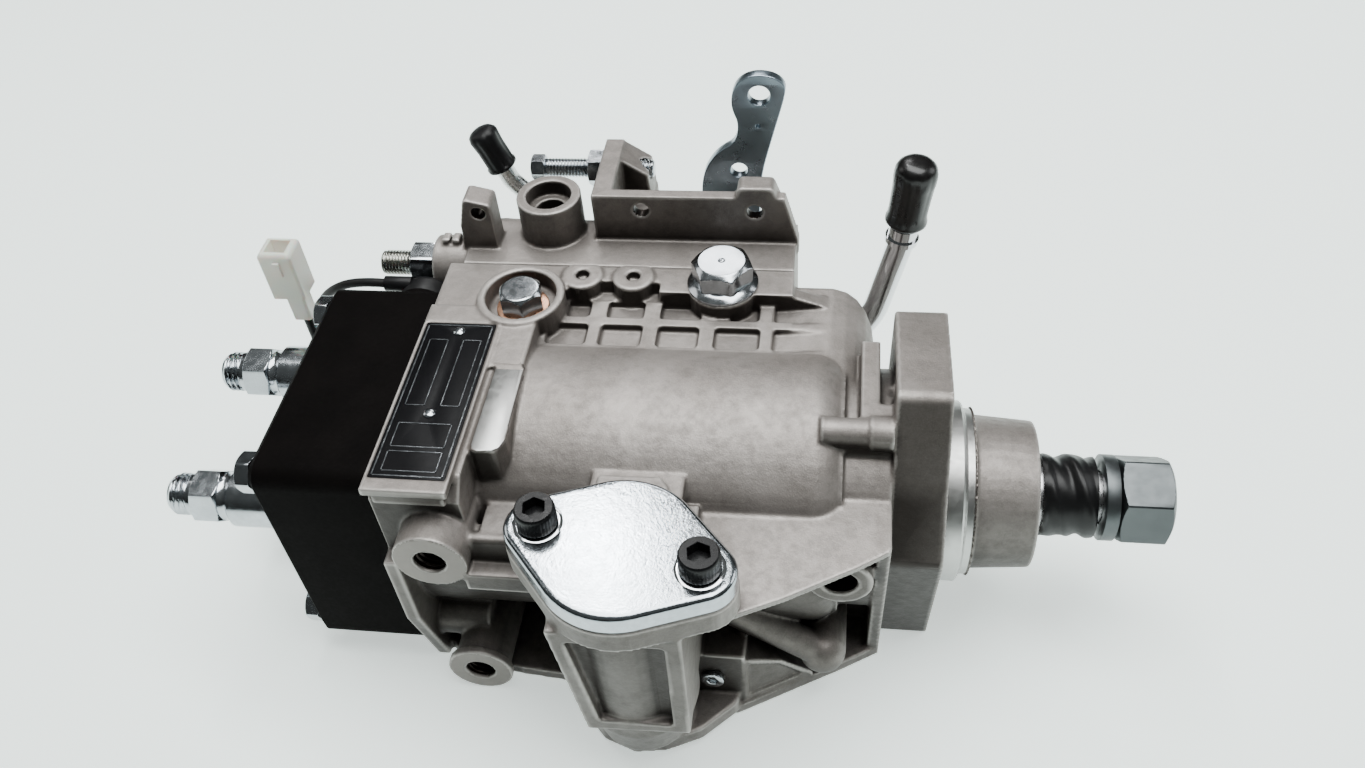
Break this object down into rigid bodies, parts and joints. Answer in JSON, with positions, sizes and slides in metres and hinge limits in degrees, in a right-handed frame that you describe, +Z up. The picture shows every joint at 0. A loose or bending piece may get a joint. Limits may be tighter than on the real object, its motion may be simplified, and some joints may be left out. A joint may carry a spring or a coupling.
{
  "type": "diesel injection pump",
  "caption": "Distributor-type diesel injection pump lying on its side: cast housing with drive flange and shaft, black distributor head, governor cover, control lever and timing housing.",
  "frame": {"origin": "drive shaft axis at the front face of the mounting flange", "axes": "+X along the drive shaft towards the drive end, +Y towards the governor cover and control lever, +Z up from the bench, towards the nameplate side"},
  "size_m": [0.2738, 0.1661, 0.1259],
  "materials": {
    "housing_casting": "sand cast, bead blasted, matte warm grey",
    "head_black": "matte black coated steel",
    "zinc_steel": "zinc plated, slightly speckled",
    "black_screws": "black oxide",
    "chrome": "bright plated",
    "black_caps": "glossy black",
    "black_matte": "matte black",
    "black_rubber": "soft black",
    "white_nylon": "milky white",
    "nameplate_black": "black plate, bare",
    "copper": "soft copper",
    "bronze": "bearing bronze",
    "spring_steel": "oiled spring steel",
    "ground_steel": "ground and hardened"
  },
  "bodies": {
    "casing": {"delivery_valve_holders": "zinc_steel", "delivery_valve_springs": "spring_steel", "distributor_head": "head_black", "feed_pump_cover": "ground_steel", "feed_pump_ring": "ground_steel", "flanged_plug": "zinc_steel", "full_load_locknut": "zinc_steel", "full_load_screw": "zinc_steel", "governor_cover": "housing_casting", "governor_shaft": "ground_steel", "governor_spring": "spring_steel", "head_bolts": "zinc_steel", "head_centre_plug": "zinc_steel", "inlet_cap": "black_caps", "inlet_pipe": "chrome", "lead_connector": "white_nylon", "nameplate": "nameplate_black", "nameplate_rivets": "zinc_steel", "overflow_cap": "black_matte", "overflow_pipe": "zinc_steel", "plunger_springs": "spring_steel", "pump_housing": "housing_casting", "recess_bolt": "zinc_steel", "recess_bolt_washer": "copper", "sealing_plug": "zinc_steel", "shaft_bush": "bronze", "shaft_seal": "black_rubber", "socket_screws": "black_screws", "solenoid_body": "black_matte", "solenoid_lead": "black_rubber", "stop_screw_locknuts": "zinc_steel", "stop_screws": "zinc_steel", "timer_cover": "zinc_steel", "timer_end_cap": "zinc_steel", "timer_spring": "spring_steel"},
    "drive": {"drive_shaft": "ground_steel", "shaft_tape": "black_matte", "shaft_washer": "zinc_steel", "shaft_nut": "zinc_steel", "feed_pump_rotor": "ground_steel", "feed_pump_vanes": "ground_steel", "drive_gear": "ground_steel"},
    "plunger_body": {"cam_plate": "ground_steel", "plunger": "ground_steel"},
    "bridge": {"spring_bridge": "ground_steel"},
    "timer_slider": {"timer_piston": "ground_steel"},
    "roller_carrier": {"roller_ring": "ground_steel", "rollers": "ground_steel", "timer_pin": "ground_steel"},
    "governor": {"governor_cage": "ground_steel"},
    "sleeve": {"governor_sleeve": "ground_steel"},
    "weight_a": {"flyweight_a": "ground_steel"},
    "weight_b": {"flyweight_b": "ground_steel"},
    "speed_lever": {"governor_lever": "ground_steel"},
    "spill": {"spill_ring": "ground_steel"},
    "throttle": {"control_lever": "zinc_steel", "control_shaft": "zinc_steel", "control_lever_nut": "zinc_steel"},
    "valves": {"delivery_valves": "ground_steel"},
    "stop_armature": {"solenoid_armature": "ground_steel"}
  },
  "joints": [
    {"name": "shaft_spin", "type": "hinge", "parent": "casing", "child": "drive", "pos_m": [0, 0, 0], "axis": [1, 0, 0], "continuous": true},
    {"name": "plunger_stroke", "type": "slide", "parent": "drive", "child": "plunger_body", "axis": [1, 0, 0], "range_m": [0, 0.0022], "deforming": ["plunger_springs"]},
    {"name": "bridge_stroke", "type": "slide", "parent": "casing", "child": "bridge", "axis": [1, 0, 0], "range_m": [0, 0.0022], "deforming": ["plunger_springs"]},
    {"name": "timer_slide", "type": "slide", "parent": "casing", "child": "timer_slider", "axis": [0, 0, 1], "range_m": [0, 0.007], "stiffness_N_per_m": 1500, "deforming": ["timer_spring"]},
    {"name": "roller_ring_swing", "type": "hinge", "parent": "casing", "child": "roller_carrier", "pos_m": [-0.078, 0, 0], "axis": [-1, 0, 0], "range_deg": [0, 7.6]},
    {"name": "governor_spin", "type": "hinge", "parent": "casing", "child": "governor", "pos_m": [-0.06, 0.04575, 0], "axis": [1, 0, 0], "continuous": true},
    {"name": "sleeve_slide", "type": "slide", "parent": "governor", "child": "sleeve", "axis": [-1, 0, 0], "range_m": [0, 0.0022], "stiffness_N_per_m": 400},
    {"name": "weight_a_swing", "type": "hinge", "parent": "governor", "child": "weight_a", "pos_m": [-0.0602, 0.04575, 0.0126], "axis": [0, 1, 0], "range_deg": [0, 22]},
    {"name": "weight_b_swing", "type": "hinge", "parent": "governor", "child": "weight_b", "pos_m": [-0.0602, 0.04575, -0.0126], "axis": [0, -1, 0], "range_deg": [0, 22]},
    {"name": "governor_lever_swing", "type": "hinge", "parent": "casing", "child": "speed_lever", "pos_m": [-0.106, 0.026, 0], "axis": [0, 0, 1], "range_deg": [0, 6.5], "deforming": ["governor_spring"]},
    {"name": "spill_ring_slide", "type": "slide", "parent": "casing", "child": "spill", "axis": [1, 0, 0], "range_m": [0, 0.0019]},
    {"name": "control_lever_swing", "type": "hinge", "parent": "casing", "child": "throttle", "pos_m": [-0.058, 0.084, 0.02], "axis": [0, -1, 0], "range_deg": [0, 38], "stiffness_Nm_per_rad": 0.03, "springref_deg": -20.05, "deforming": ["governor_spring"]},
    {"name": "delivery_valve_lift", "type": "slide", "parent": "casing", "child": "valves", "axis": [-1, 0, 0], "range_m": [0, 0.0025], "stiffness_N_per_m": 1500, "deforming": ["delivery_valve_springs"]},
    {"name": "solenoid_armature_slide", "type": "slide", "parent": "casing", "child": "stop_armature", "axis": [0, 1, 0], "range_m": [0, 0.0012], "stiffness_N_per_m": 800}
  ],
  "couplings": [
    {"joint": "bridge_stroke", "follows": "plunger_stroke", "ratio": 1},
    {"joint": "governor_spin", "follows": "shaft_spin", "ratio": -1.6522},
    {"joint": "roller_ring_swing", "follows": "timer_slide", "rad_per_m": 18.868},
    {"joint": "weight_a_swing", "follows": "sleeve_slide", "rad_per_m": 174.53},
    {"joint": "weight_b_swing", "follows": "sleeve_slide", "rad_per_m": 174.53},
    {"joint": "governor_lever_swing", "follows": "sleeve_slide", "rad_per_m": 50.633},
    {"joint": "spill_ring_slide", "follows": "sleeve_slide", "ratio": 0.82}
  ]
}
